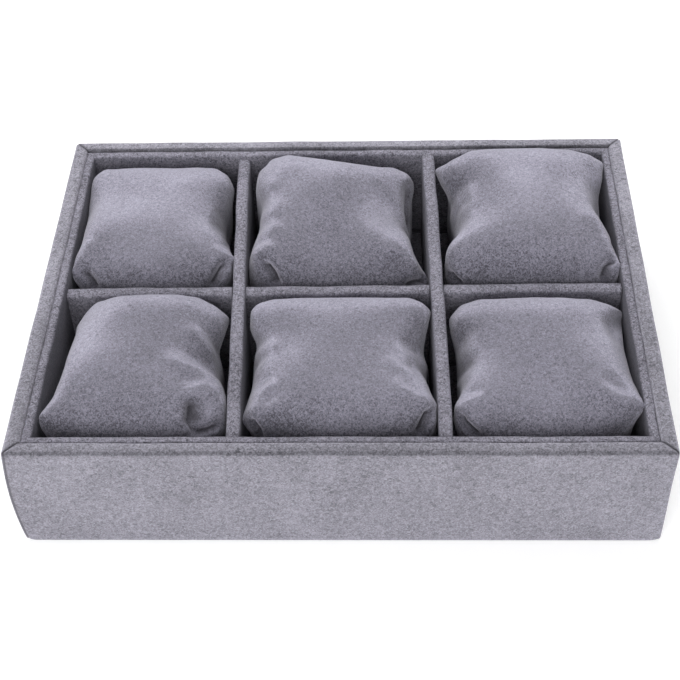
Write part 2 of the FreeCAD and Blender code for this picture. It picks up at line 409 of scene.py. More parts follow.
class VelvetNapAndShade:
    """Node group for the pile of velvet: clouds, nap and single tufts, with painted light and shade: lighter
    as a surface turns towards the lit side, darker as it turns away or faces sideways.

    Its inputs are called as the fields of a finish that feed them.
    """

    NAME = "velvet_nap_and_shade"
    COLOURS = ("dark", "light", "seam_and_shade_colour")
    SCALES = ("cloud_per_m", "nap_per_m", "pile_per_m")
    SHADES = ("mottle_against", "mottle_along", "painted_shade_away", "painted_light_towards", "side_shade")
    INPUTS = {
        **dict.fromkeys(COLOURS, "NodeSocketColor"),
        **dict.fromkeys(SCALES + SHADES, "NodeSocketFloat"),
        "lean": "NodeSocketVector",
    }
    LAYERS = (("cloud_per_m", 3.0, 0.0), ("nap_per_m", 2.0, 1.4), ("pile_per_m", 1.0, 0.8))
    PILE_SHARE = 0.35
    CLOUD_SHARE = 0.16
    MIDDLE = 0.5

    def group(self) -> NodeTree:
        """The group, built the first time that it is asked for."""
        return bpy.data.node_groups.get(self.NAME) or self._build()

    def _build(self) -> NodeTree:
        """Makes the group's sockets and nodes.

        Returns:
            The shader node group.
        """
        tree = bpy.data.node_groups.new(self.NAME, "ShaderNodeTree")
        for name, kind in (*self.INPUTS.items(), (SEAM_AND_SHADE_ATTRIBUTE, "NodeSocketFloat")):
            tree.interface.new_socket(name, in_out="INPUT", socket_type=kind)
        tree.interface.new_socket("Colour", in_out="OUTPUT", socket_type="NodeSocketColor")
        tree.interface.new_socket("Height", in_out="OUTPUT", socket_type="NodeSocketFloat")
        sketch = NodeSketch(tree)
        given = sketch.add("NodeGroupInput").outputs
        place = sketch.add("ShaderNodeTexCoord").outputs
        layers = []
        for scale, detail, swirl in self.LAYERS:
            inputs = {"Vector": place["Object"], "Scale": given[scale]}
            inputs |= {"Detail": detail, "Distortion": swirl}
            layers.append(sketch.add("ShaderNodeTexNoise", inputs).outputs["Fac"])
        cloud, nap, pile = layers
        nap_and_pile = sketch.mix(nap, pile, self.PILE_SHARE)
        surface = sketch.mix(nap_and_pile, cloud, self.CLOUD_SHARE)
        slant = {0: place["Normal"], 1: given["lean"]}
        lean = sketch.add("ShaderNodeVectorMath", slant, operation="DOT_PRODUCT").outputs["Value"]
        mottle = sketch.map_range(lean, given["mottle_against"], given["mottle_along"])
        most = sketch.math("ADD", mottle, self.MIDDLE)
        spread = sketch.map_range(surface, self.MIDDLE, most, self.MIDDLE, clamp=False)
        pile_colour = sketch.mix(given["dark"], given["light"], spread, "RGBA")
        # Painted light and shade: the pile colour is lighter on faces turned towards the lit side and darker
        # on faces turned away.
        tilt_shade = sketch.map_range(lean, given["painted_shade_away"], given["painted_light_towards"])
        # Painted shade: faces turned steeply to the left or right are darkened, as in the gaps between the
        # pieces.
        sideways = sketch.add("ShaderNodeSeparateXYZ", {"Vector": place["Normal"]}).outputs["X"]
        for _ in range(2):
            sideways = sketch.math("MULTIPLY", sideways, sideways)
        lost = sketch.math("MULTIPLY", sideways, given["side_shade"])
        kept = sketch.math("SUBTRACT", tilt_shade, sketch.math("MULTIPLY", tilt_shade, lost))
        leaned = sketch.scale(pile_colour, kept)
        # The seam attribute darkens dark joints at cut seams and paints shade in grooves and folds.
        colour = sketch.mix(leaned, given["seam_and_shade_colour"], given[SEAM_AND_SHADE_ATTRIBUTE], "RGBA")
        sketch.add("NodeGroupOutput", {"Colour": colour, "Height": nap_and_pile})
        return tree


@dataclass(frozen=True)
class VelvetFinish:
    """A velvet: its colours, how coarse its nap is, its sheen, and the painted light, shade and sheen that
    its base colour takes.
    """

    name: str
    dark: Colour
    light: Colour
    sheen_tint: Colour
    seam_and_shade_colour: Colour = (0.02, 0.018, 0.02, 1.0)
    cloud_per_m: float = 45.0
    nap_per_m: float = 420.0
    pile_per_m: float = 1900.0
    mottle_against: float = 1.6
    mottle_along: float = 1.6
    lean: Point = (0.0, 0.4, 0.92)
    painted_shade_away: float = 1.0
    painted_light_towards: float = 1.0
    side_shade: float = 0.0
    facing_shade: float = 0.53
    grazing_shade: float = 1.2
    facing_until: float = 0.05
    grazing_from: float = 0.45
    roughness: float = 0.95
    specular: float = 0.08
    sheen: float = 0.5
    sheen_roughness: float = 0.6
    bump_mm: float = 0.5
    bump_strength: float = 0.6

    def material(self) -> Material:
        """Makes the velvet's material.

        Returns:
            The material.
        """
        material, sketch, shader = blank_material(self.name)
        inputs = {name: getattr(self, name) for name in VelvetNapAndShade.INPUTS}
        seam = sketch.add("ShaderNodeAttribute", attribute_name=SEAM_AND_SHADE_ATTRIBUTE)
        inputs[SEAM_AND_SHADE_ATTRIBUTE] = seam.outputs["Fac"]
        nap = sketch.add("ShaderNodeGroup", inputs, node_tree=VelvetNapAndShade().group()).outputs
        # Painted sheen: the base colour is darker where a surface faces the camera and lighter where it is
        # seen edge-on.
        painted_sheen = sketch.map_range(
            sketch.add("ShaderNodeLayerWeight").outputs["Facing"],
            self.facing_shade,
            self.grazing_shade,
            self.facing_until,
            self.grazing_from,
            interpolation_type="SMOOTHSTEP",
        )
        dressed = {
            "Base Color": sketch.scale(nap["Colour"], painted_sheen),
            "Roughness": self.roughness,
            "Specular IOR Level": self.specular,
            "Sheen Weight": self.sheen,
            "Sheen Roughness": self.sheen_roughness,
            "Sheen Tint": self.sheen_tint,
            "Normal": sketch.bump(nap["Height"], self.bump_mm, self.bump_strength),
        }
        sketch.feed(shader, dressed)
        return material


@dataclass(frozen=True)
class BoardFinish:
    """Plain pressed board or felt: speckled fibres and a dull surface."""

    name: str
    dark: Colour
    light: Colour
    fibre_per_m: float = 300.0
    roughness: float = 0.85
    fibre_detail: float = 6.0
    bump_mm: float = 0.2

    def material(self) -> Material:
        """Makes the board's material.

        Returns:
            The material.
        """
        material, sketch, shader = blank_material(self.name)
        place = sketch.add("ShaderNodeTexCoord").outputs["Object"]
        inputs = {"Vector": place, "Scale": self.fibre_per_m, "Detail": self.fibre_detail}
        fibres = sketch.add("ShaderNodeTexNoise", inputs).outputs["Fac"]
        dressed = {
            "Base Color": sketch.mix(self.dark, self.light, fibres, "RGBA"),
            "Roughness": self.roughness,
            "Normal": sketch.bump(fibres, self.bump_mm),
        }
        sketch.feed(shader, dressed)
        return material


# Painted shade: the wrap's upright faces are darker than its top.
TRAY_VELVET = VelvetFinish(
    name="tray_velvet",
    dark=(0.075, 0.073, 0.084, 1.0),
    light=(0.335, 0.325, 0.378, 1.0),
    sheen_tint=(0.88, 0.86, 0.99, 1.0),
    nap_per_m=800.0,
    pile_per_m=1700.0,
    mottle_against=1.8,
    mottle_along=2.0,
    lean=(0.0, 0.0, 1.0),
    painted_shade_away=0.68,
)
# Painted shade: faces of the lining and dividers that turn away from the lit side, such as their sides in
# the gaps, are darkened far.
LINING_VELVET = VelvetFinish(
    name="lining_velvet",
    dark=(0.055, 0.053, 0.063, 1.0),
    light=(0.285, 0.275, 0.328, 1.0),
    sheen_tint=(0.86, 0.84, 0.98, 1.0),
    nap_per_m=900.0,
    pile_per_m=1800.0,
    mottle_against=1.9,
    mottle_along=1.9,
    lean=(0.0, -0.5, 0.866),
    painted_shade_away=0.22,
    painted_light_towards=1.42,
    facing_shade=0.8,
    grazing_shade=1.0,
    sheen=0.18,
)
# Painted light and shade: faces turned up and back are lighter, fronts and steep sides darker, with painted
# sheen at grazing view.
PILLOW_VELVET = VelvetFinish(
    name="pillow_velvet",
    dark=(0.078, 0.075, 0.094, 1.0),
    light=(0.300, 0.290, 0.360, 1.0),
    sheen_tint=(0.90, 0.88, 1.0, 1.0),
    nap_per_m=1000.0,
    pile_per_m=1900.0,
    mottle_against=3.3,
    mottle_along=1.25,
    lean=(0.0, 0.45, 0.893),
    painted_shade_away=0.68,
    painted_light_towards=1.1,
    side_shade=1.0,
    facing_shade=0.8,
    grazing_shade=1.42,
    facing_until=0.22,
    grazing_from=0.44,
)
FIBREBOARD = BoardFinish("fibreboard", (0.30, 0.21, 0.13, 1.0), (0.48, 0.36, 0.24, 1.0))
GREY_CARD = BoardFinish("grey_card", (0.30, 0.29, 0.27, 1.0), (0.46, 0.44, 0.41, 1.0), 500.0)
DARK_FELT = BoardFinish("dark_felt", (0.020, 0.020, 0.024, 1.0), (0.055, 0.055, 0.062, 1.0), 900.0, 0.95)


@dataclass
class OuterWrap:
    """The strip of velvet up the outside of the tray and over its rim."""

    thickness: float
    half_width: float
    half_depth: float
    foot: float
    rim: float
    corner_radius: float = 1.0
    smallest_radius: float = 0.15
    corner_steps: int = 6
    near_corner: tuple[float, ...] = (0.3, 0.7, 1.2, 1.9, 2.8)
    edge_radius: float = 1.4
    edge_steps: int = 6
    rim_rise: float = 0.15
    rim_swell: Wave = Wave(0.25, 17.0, 8.0)
    side_swell: Wave = Wave(0.22, 26.0, 3.0)
    side_swell_height: float = 6.0
    side_margins: tuple[float, float] = (2.0, 0.5)
    side_share: float = 0.9
    foot_edge: tuple[tuple[float, float], ...] = ((0.3, 0.0), (0.05, 0.4))
    foot_rounding: float = 1.3
    foot_rounding_height: float = 4.0
    foot_rounding_reach: float = 2.2
    hang: float = 0.6
    step: float = 1.3
    seam_width: float = 0.45
    seam_depth: float = 0.35
    seam_depth_share_on_sides: float = 0.6
    seam_shade: float = 1.2
    most_shade: float = 0.9
    mitre_drop: float = 1.6
    groove_width: float = 0.7
    groove_drop: float = 2.5
    groove_mean: float = 0.3
    groove_swell: Wave = Wave(0.8, 2.4, 12.0)
    joint_inset: float = 0.9
    joint_band: float = 0.4
    joint_swell: float = 1.8
    joint_reach: float = 14.0

    @classmethod
    def from_frame(cls) -> "OuterWrap":
        """Takes the wrap's sizes from its node and the nodes inside it.

        Returns:
            The wrap.
        """
        low, high = node_box_mm("outer_wrap_velvet")
        liner_low, _ = node_box_mm("left_liner_velvet")
        return cls(
            thickness=float(liner_low[0] - low[0]),
            half_width=float(high[0]),
            half_depth=float(high[1]),
            foot=float(low[2]) - cls.hang,
            rim=float(high[2]),
        )

    def _profile(self) -> list[tuple[float, float]]:
        """Section of the wrapped wall, from the inner foot round.

        Returns:
            Insets from the outside, with heights.
        """
        radius = self.edge_radius
        outer = [
            (radius * (1 - math.sin(a)), self.rim - radius * (1 - math.cos(a)))
            for a in np.linspace(math.pi / 2, 0, self.edge_steps)
        ]
        inner = [(self.thickness - inset, height) for inset, height in reversed(outer)]
        above, below = self.side_margins
        sides = [(0.0, float(z)) for z in np.arange(self.foot + above, self.rim - radius - below, self.step)]
        underside = ((self.thickness, 0.0), (radius, 0.0), *self.foot_edge)
        foot = [(inset, self.foot + rise) for inset, rise in underside]
        return foot + sides + outer + inner + [(self.thickness, self.foot + radius)]

    def _ring(self, inset: float) -> np.ndarray:
        """Plan of the wrap at an inset, counter-clockwise from the front left corner.

        Args:
            inset: how far inside the tray's outline, in millimetres.

        Returns:
            Rows of X and Y.
        """
        half_x = self.half_width - inset
        half_y = self.half_depth - inset
        radius = max(self.corner_radius - inset, self.smallest_radius)
        near = list(self.near_corner)
        points = []
        corners = ((-1, -1, 180), (1, -1, 270), (1, 1, 0), (-1, 1, 90))
        ways = ((1, 0), (0, 1), (-1, 0), (0, -1))
        for number, ((sx, sy, start), (ux, uy)) in enumerate(zip(corners, ways)):
            cx = sx * (half_x - radius)
            cy = sy * (half_y - radius)
            for k in range(self.corner_steps + 1):
                angle = math.radians(start + 90 * k / self.corner_steps)
                points.append((cx + radius * math.cos(angle), cy + radius * math.sin(angle)))
            full = 2 * (self.half_width if number % 2 == 0 else self.half_depth)
            run = 2 * ((half_x if number % 2 == 0 else half_y) - radius)
            middle = np.linspace(near[-1], run - near[-1], int(full / self.step))[1:-1]
            along = near + list(middle) + [run - d for d in reversed(near)]
            x, y = points[-1]
            points.extend((x + ux * d, y + uy * d) for d in along)
        return np.array(points)

    def _insets(self, points: np.ndarray) -> tuple[np.ndarray, np.ndarray]:
        """How far points lie inside the tray's left or right side, and inside its front or back."""
        return self.half_width - np.abs(points[:, 0]), self.half_depth - np.abs(points[:, 1])

    def _seam_weight(self, points: np.ndarray) -> np.ndarray:
        """How near each point is to a cut in the velvet, from 0 to 1.

        Args:
            points: rows of millimetres.

        Returns:
            One weight for each point.
        """
        from_side, from_end = self._insets(points)
        off_mitre = np.abs(from_side - from_end) / math.sqrt(2)
        near = np.exp(-((off_mitre / self.seam_width) ** 2))
        at_corner = (from_side < 2 * self.thickness) & (from_end < 2 * self.thickness)
        top_from = self.rim - self.mitre_drop * self.edge_radius
        mitres = near * at_corner * np.clip((points[:, 2] - top_from) / self.edge_radius, 0, 1)
        from_left = points[:, 0] + self.half_width
        on_front = points[:, 1] < self.joint_band - self.half_depth
        joint = on_front * np.exp(-(((from_left - self.joint_inset) / self.seam_width) ** 2))
        return np.maximum(mitres, joint)

    def _groove_weight(self, points: np.ndarray) -> np.ndarray:
        """How deep each point lies in the sewn groove between the rim and the lining, from 0 to 1.

        Args:
            points: rows of millimetres.

        Returns:
            One weight for each point.
        """
        inset = np.minimum(*self._insets(points))
        near = np.clip(1 - (self.thickness - inset) / self.groove_width, 0, 1)
        high = points[:, 2] > self.rim - self.groove_drop * self.edge_radius
        return near * high * np.clip(self.groove_mean + self.groove_swell.at(points), 0, 1)

    def _settle(self, points: np.ndarray, weight: np.ndarray) -> None:
        """Rounds the foot's corners, swells the sides and the joint, and sinks the seams on the sides.

        Args:
            points: rows of millimetres, which are moved.
            weight: how near each point is to a cut.
        """
        from_corner = np.hypot(*self._insets(points)) / self.foot_rounding_reach
        at_foot = np.clip(1 - (points[:, 2] - self.foot) / self.foot_rounding_height, 0, 1)
        points[:, 2] += self.foot_rounding * at_foot * np.exp(-(from_corner**2))
        outward = np.column_stack([points[:, 0] / self.half_width, points[:, 1] / self.half_depth])
        facing = np.abs(outward) > self.side_share
        height = points[:, 2] - self.foot
        swell = self.side_swell.at(points) * np.clip(height / self.side_swell_height, 0, 1)
        share = np.clip(height / (self.rim - self.foot), 0, 1)
        from_joint = (points[:, 1] + self.half_depth) / self.joint_reach
        on_left = points[:, 0] < self.thickness / 2 - self.half_width
        points[:, 0] -= on_left * self.joint_swell * np.sin(math.pi * share) * np.exp(-(from_joint**2))
        moved = swell - self.seam_depth * weight * self.seam_depth_share_on_sides
        for axis in (0, 1):
            points[:, axis] += np.sign(points[:, axis]) * facing[:, axis] * moved

    def build(self, material: Material) -> Object:
        """Makes the wrap and seats it on the tray.

        Args:
            material: the velvet.

        Returns:
            The piece.
        """
        profile = self._profile()
        rings = [self._ring(inset) for inset, _ in profile]
        count = len(rings[0])
        points = np.vstack([np.column_stack([r, np.full(count, z)]) for r, (_, z) in zip(rings, profile)])
        weight = self._seam_weight(points)
        self._settle(points, weight)
        on_rim = points[:, 2] > self.rim - self.edge_radius
        groove = self._groove_weight(points)
        rise = self.rim_swell.at(points) + self.rim_rise
        points[:, 2] += on_rim * (rise - self.seam_depth * (weight + groove))
        piece = mesh_object("outer_wrap", points, tube_faces(len(profile), count, closed=True))
        # Darkening: the cut seams as dark joints; the sewn groove in dots, partly its stitching and partly
        # painted shade in the groove.
        mark_seam_and_shade(piece.data, np.clip(np.maximum(weight * self.seam_shade, groove), 0, self.most_shade))
        piece.data.materials.append(material)
        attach(piece, "tray")
        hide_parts("outer_wrap_velvet")
        return piece


@dataclass
class VelvetBar:
    """A lining strip or a divider: velvet folded over the top edge of a board."""

    name: str
    node: str
    start: tuple[float, float]
    end: tuple[float, float]
    thickness: float
    foot: float
    top: float
    top_notches: list[tuple[float, float]] = field(default_factory=list)
    foot_notches: list[tuple[float, float]] = field(default_factory=list)
    notch_level: float = 0.0
    notch_margin: float = 0.3
    notch_wall: float = 0.02
    notch_lip: float = 0.25
    lip_fall: float = 0.1
    notch_edge_fall: float = 0.3
    notch_shrink: float = 0.1
    crest_rise: float = 1.9
    crest_flatness: float = 0.7
    crest_points: int = 13
    upright_points: int = 12
    end_shrinks: tuple[tuple[float, float], ...] = ((0.0, 0.1), (0.3, 0.0))
    end_margins: tuple[float, float] = (2.0, 1.0)
    step: float = 1.2
    unevenness: float = 0.28
    sway_length: float = 15.0
    sway_from_top: float = 14.0
    sway_over: float = 10.0
    crest_wave: Wave = Wave(1.0, 11.0, 4.0)
    crest_settle: float = 0.8
    crest_depth: float = 3.0
    sewn_side: int = 0
    sewn_rise: float = 0.7
    sewn_margin: float = 1.0
    groove_width: float = 0.8
    groove_mean: float = 0.5
    groove_most: float = 0.9
    groove_swell: Wave = Wave(0.9, 2.4, 9.0)
    end_rise: float = 0.0
    seed: float = 0.0

    def _section(self, foot: float, top: float, shrink: float) -> list[tuple[float, float]]:
        """Closed section across the bar: offsets to the side and heights.

        Args:
            foot: height of the bottom.
            top: height of the crest.
            shrink: how much smaller than the full section it is all round.

        Returns:
            The section's points.
        """
        half = self.thickness / 2 - shrink
        rise = min(self.crest_rise, half)
        crest = []
        for a in np.linspace(0, math.pi, self.crest_points):
            across = math.copysign(abs(math.cos(a)) ** self.crest_flatness, math.cos(a))
            fall = self.sewn_rise if across * self.sewn_side > 0 else rise
            crest.append((half * across, top - shrink - fall + fall * math.sin(a) ** self.crest_flatness))
        upright = np.linspace(foot, top - shrink - rise, self.upright_points)[:-1]
        right = [(half, float(z)) for z in upright]
        left = [(-half, float(z)) for z in reversed(upright)]
        return right + crest + left

    def _stations(self, length: float) -> list[tuple[float, float, float, float]]:
        """Places along the bar, each with its foot, its top and how far it rounds in.

        Args:
            length: the bar's length.

        Returns:
            The places in order.
        """
        first, last = self.end_margins
        foot, top, level = self.foot, self.top, self.notch_level
        places = [(float(s), foot, top, 0.0) for s in np.arange(first, length - last, self.step)]
        for s, shrink in self.end_shrinks:
            places += [(s, foot, top, shrink), (length - s, foot, top, shrink)]
        margin = self.notch_margin
        for low, high in self.top_notches:
            places = [p for p in places if not low - margin < p[0] < high + margin]
            for edge, out in ((low, -1), (high, 1)):
                places.append((edge + out * self.notch_lip, foot, top - self.lip_fall, 0.0))
                places.append((edge, foot, top - self.notch_edge_fall, self.notch_shrink))
                places.append((edge - out * self.notch_wall, foot, level, self.notch_shrink))
        for low, high in self.foot_notches:
            places = [(s, level if low < s < high else f, t, k) for s, f, t, k in places]
            for edge, out in ((low, -1), (high, 1)):
                places = [p for p in places if not edge - margin < p[0] < edge + margin]
                places += [(edge, foot, top, 0.0), (edge - out * self.notch_wall, level, top, 0.0)]
        return sorted(places)

    def _settle(self, points: np.ndarray, along: np.ndarray, across: np.ndarray, length: float) -> None:
        """Lets the bar's upper part sway and its crest rise and fall.

        Args:
            points: rows of millimetres, which are moved.
            along: the bar's direction in plan.
            across: the direction to its side.
            length: its length.
        """
        high = np.clip((points[:, 2] - (self.top - self.sway_from_top)) / self.sway_over, 0, 1)
        sway = self.unevenness * wander(points, self.sway_length, self.seed) * high
        points[:, 0] += across[0] * sway
        points[:, 1] += across[1] * sway
        share = (points[:, :2] - np.array(self.start)) @ along / length
        points[:, 2] += high * self.end_rise * share
        crest = np.clip((points[:, 2] - (self.top - self.crest_depth)) / self.crest_depth, 0, 1)
        points[:, 2] += crest * self.unevenness * (self.crest_wave.at(points, self.seed) - self.crest_settle)

    def build(self, material: Material) -> Object:
        """Makes the bar and seats it in the tray.

        Args:
            material: the velvet.

        Returns:
            The piece.
        """
        start = np.array(self.start)
        along = np.array(self.end) - start
        length = float(np.linalg.norm(along))
        along = along / length
        across = np.array([-along[1], along[0]])
        rows = []
        for s, foot, top, shrink in self._stations(length):
            for offset, z in self._section(foot, top, shrink):
                x, y = start + along * s + across * offset
                rows.append((x, y, z))
        points = np.array(rows)
        count = len(self._section(self.foot, self.top, 0.0))
        stations = len(points) // count
        faces = tube_faces(stations, count, closed=False)
        faces.append(tuple(range(count - 1, -1, -1)))
        faces.append(tuple(range((stations - 1) * count, stations * count)))
        offsets = (points[:, :2] - start) @ across
        near = np.clip(1 - (self.thickness / 2 - self.sewn_side * offsets) / self.groove_width, 0, 1)
        sewn = abs(self.sewn_side) * near * (points[:, 2] > self.top - self.crest_rise - self.sewn_margin)
        depth = self.groove_mean + self.groove_swell.at(points, self.seed)
        groove = sewn * np.clip(depth, 0, self.groove_most)
        self._settle(points, along, across, length)
        piece = mesh_object(self.name, points, faces)
        # The sewn groove along the crest is darkened in dots, partly its stitching and partly painted shade
        # in the groove.
        mark_seam_and_shade(piece.data, groove)
        piece.data.materials.append(material)
        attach(piece, "tray")
        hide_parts(self.node)
        return piece


@dataclass
class BarLine:
    """Where a divider stands: its middle line in plan, along X (axis 0) or Y (axis 1), and its thickness."""

    axis: int
    low: tuple[float, float]
    high: tuple[float, float]
    half_thickness: float

    END_BAND = 1.0
    CROSSING_ROUNDS = 4

    @classmethod
    def from_node(cls, node: Object, axis: int) -> "BarLine":
        """Reads the line from the ends of a divider's node.

        Args:
            node: the velvet of the divider in the frame.
            axis: 0 for a divider along X, 1 for one along Y.

        Returns:
            The line.
        """
        points = mesh_points_mm(node.data)[:, :2]
        along = points[:, axis]
        ends = []
        for near in (along < along.min() + cls.END_BAND, along > along.max() - cls.END_BAND):
            across = points[near, 1 - axis]
            end = [0.0, 0.0]
            end[axis] = float(along[near].mean())
            end[1 - axis] = float(across.min() + across.max()) / 2
            ends.append(tuple(end))
            half = float(across.max() - across.min()) / 2
        return cls(axis, ends[0], ends[1], half)

    def at(self, place: np.ndarray | float) -> np.ndarray | float:
        """The line's offset to the side at places along its axis.

        Args:
            place: X, or Y for a divider along Y.

        Returns:
            Y, or X for a divider along Y.
        """
        side = 1 - self.axis
        share = (place - self.low[self.axis]) / (self.high[self.axis] - self.low[self.axis])
        return self.low[side] + (self.high[side] - self.low[side]) * share

    def faces(self, place: np.ndarray) -> tuple[np.ndarray, np.ndarray]:
        """The divider's lower and upper side face at places along its axis."""
        middle = self.at(place)
        return middle - self.half_thickness, middle + self.half_thickness

    def run_to(self, other: "BarLine") -> float:
        """Finds where another line crosses this one.

        Args:
            other: the other line.

        Returns:
            The distance from this line's low end.
        """
        place = 0.0
        for _ in range(self.CROSSING_ROUNDS):
            place = other.at(self.at(place))
        offset = self.at(place) - self.low[1 - self.axis]
        return math.hypot(place - self.low[self.axis], offset)


@dataclass
class TrayBody:
    """The fixed part of the tray: wrapped walls, lining strips, dividers and what they stand on."""

    nodes: dict[str, Object]
    lap_clearance: float = 0.05
    lining_rise: float = 0.5
    lining_seed_step: float = 5.1
    divider_unevenness: float = 0.4
    divider_seeds: tuple[float, float] = (31.0, 7.3)
    long_rise: float = 1.6
    right_end_rise: float = 2.0
    end_lap: float = 0.8

    def lining_bars(self) -> list[VelvetBar]:
        """Sizes the four lining strips.

        Returns:
            The strips.
        """
        bars = []
        for number, side in enumerate(Side):
            node = f"{side.name.lower()}_liner_velvet"
            low, high = node_box_mm(node)
            middle = (low + high) / 2
            if side in (Side.FRONT, Side.BACK):
                start, end, thickness = (low[0], middle[1]), (high[0], middle[1]), high[1] - low[1]
                outward = side.value[1]
            else:
                thickness = high[0] - low[0]
                reach = thickness / 2
                start, end = (middle[0], low[1] - reach), (middle[0], high[1] + reach)
                outward = -side.value[0]
            name = f"{side.name.lower()}_lining"
            bar = VelvetBar(name, node, start, end, thickness, low[2], high[2] + self.lining_rise)
            bar.sewn_side = outward
            bar.seed = number * self.lining_seed_step
            bars.append(bar)
        return bars

    def lines(self) -> dict[str, BarLine]:
        """The middle lines of the three dividers, by name."""
        axes = {"left_divider": 1, "right_divider": 1, "cross_divider": 0}
        return {name: BarLine.from_node(self.nodes[name + "_velvet"], axis) for name, axis in axes.items()}

    def divider_bars(self) -> list[VelvetBar]:
        """Sizes the two long dividers, lapped from below, and the cross divider, lapped from above.

        Returns:
            The dividers.
        """
        lines = self.lines()
        first_seed, seed_step = self.divider_seeds
        bars = []
        for number, (name, line) in enumerate(lines.items()):
            low, high = node_box_mm(f"{name}_velvet")
            level = (low[2] + high[2]) / 2
            reach = line.half_thickness + self.lap_clearance
            runs = [line.run_to(other) for other in lines.values() if other.axis != line.axis]
            notches = [(run - reach, run + reach) for run in runs]
            crosses = line.axis == 0
            bar = VelvetBar(
                name,
                f"{name}_velvet",
                line.low,
                line.high if crosses else (line.high[0], line.high[1] + self.end_lap),
                2 * line.half_thickness,
                low[2],
                high[2] + (0.0 if crosses else self.long_rise),
                top_notches=notches if crosses else [],
                foot_notches=[] if crosses else notches,
                notch_level=level + (0.0 if crosses else self.lap_clearance),
                unevenness=self.divider_unevenness,
                end_rise=self.right_end_rise if name == "right_divider" else 0.0,
                seed=first_seed + number * seed_step,
            )
            bars.append(bar)
        return bars

    def dress_hidden(self, lining: Material) -> None:
        """Gives the floor, felt, boards and cards that stay as they are their finishes.

        Args:
            lining: the velvet on the floor.
        """
        finishes = {
            "floor_velvet": lining,
            "bottom_felt": DARK_FELT.material(),
            "_card": GREY_CARD.material(),
            "_board": FIBREBOARD.material(),
        }
        for name, node in self.nodes.items():
            for ending, finish in finishes.items():
                if name.endswith(ending):
                    node.data.materials.clear()
                    node.data.materials.append(finish)

    def build(self) -> list[Object]:
        """Makes every fixed piece.

        Returns:
            The pieces.
        """
        lining = LINING_VELVET.material()
        self.dress_hidden(lining)
        pieces = [OuterWrap.from_frame().build(TRAY_VELVET.material())]
        pieces += [bar.build(lining) for bar in self.lining_bars() + self.divider_bars()]
        return pieces


@dataclass
class Cell:
    """The room for one pillow between the dividers and the lining."""

    row: Row
    column: Column
    lines: dict[str, BarLine]
    floor: float
    inner_half_width: float
    inner_half_depth: float
    divider_top: float
    lining_top: float
    room: float = 0.3

    @classmethod
    def from_tray(cls, tray: TrayBody, row: Row, column: Column) -> "Cell":
        """Takes a cell's faces from the nodes round it.

        Args:
            tray: the fixed part of the tray.
            row: the cell's row.
            column: the cell's column.

        Returns:
            The cell.
        """
        cross_low, cross_high = node_box_mm("cross_divider_velvet")
        liner_low, liner_high = node_box_mm("right_liner_velvet")
        return cls(
            row=row,
            column=column,
            lines=tray.lines(),
            floor=float(cross_low[2]),
            inner_half_width=float(liner_low[0]),
            inner_half_depth=float(node_box_mm("back_liner_velvet")[0][1]),
            divider_top=float(cross_high[2]),
            lining_top=float(liner_high[2]),
        )

    @property
    def left_top(self) -> float:
        """Height of the cell's left side."""
        return self.lining_top if self.column is Column.LEFT else self.divider_top

    @property
    def right_top(self) -> float:
        """Height of the cell's right side."""
        return self.lining_top if self.column is Column.RIGHT else self.divider_top

    def faces_at(self, y: np.ndarray) -> tuple[np.ndarray, np.ndarray]:
        """Finds the cell's left and right faces.

        Args:
            y: places along Y.

        Returns:
            X of the two faces at each place.
        """
        wall = np.full(len(y), self.inner_half_width)
        left_low, left_high = self.lines["left_divider"].faces(y)
        right_low, right_high = self.lines["right_divider"].faces(y)
        if self.column is Column.LEFT:
            return -wall, left_low
        if self.column is Column.MIDDLE:
            return left_high, right_low
        return right_high, wall

    def ends_at(self, x: np.ndarray) -> tuple[np.ndarray, np.ndarray]:
        """Finds the cell's front and back faces.

        Args:
            x: places along X.

        Returns:
            Y of the two faces at each place.
        """
        wall = np.full(len(x), self.inner_half_depth)
        cross_low, cross_high = self.lines["cross_divider"].faces(x)
        return (-wall, cross_low) if self.row is Row.FRONT else (cross_high, wall)

    def holds(self, point: np.ndarray) -> bool:
        """Tells whether a point is clear of the cell's sides.

        Args:
            point: a place in millimetres.

        Returns:
            Whether it is between the sides or above their top.
        """
        left, right = self.faces_at(point[1:2])
        past_left = point[0] < left[0] + self.room and point[2] < self.left_top
        past_right = point[0] > right[0] - self.room and point[2] < self.right_top
        return not (past_left or past_right)


@dataclass(frozen=True)
class Fold:
    """A fold on a pillow along pixels of the photograph: its width and depth, and how much painted shade it
    lays along its path.
    """

    kind: FoldKind
    path: tuple[Pixel, ...]
    width: float = 2.2
    depth: float = 2.0
    shade: float = 0.0


@dataclass(frozen=True)
class Ear:
    """A drawn-out corner of a pillow: where its tip is in the photograph, and how wide it is."""

    tip: Pixel
    spread: float = 5.0


@dataclass(frozen=True)
class Droop:
    """A part that hangs lower, or stands higher if its depth is below 0: where it is seen and how wide."""

    pixel: Pixel
    spread_px: float = 14.0
    depth: float = 14.0


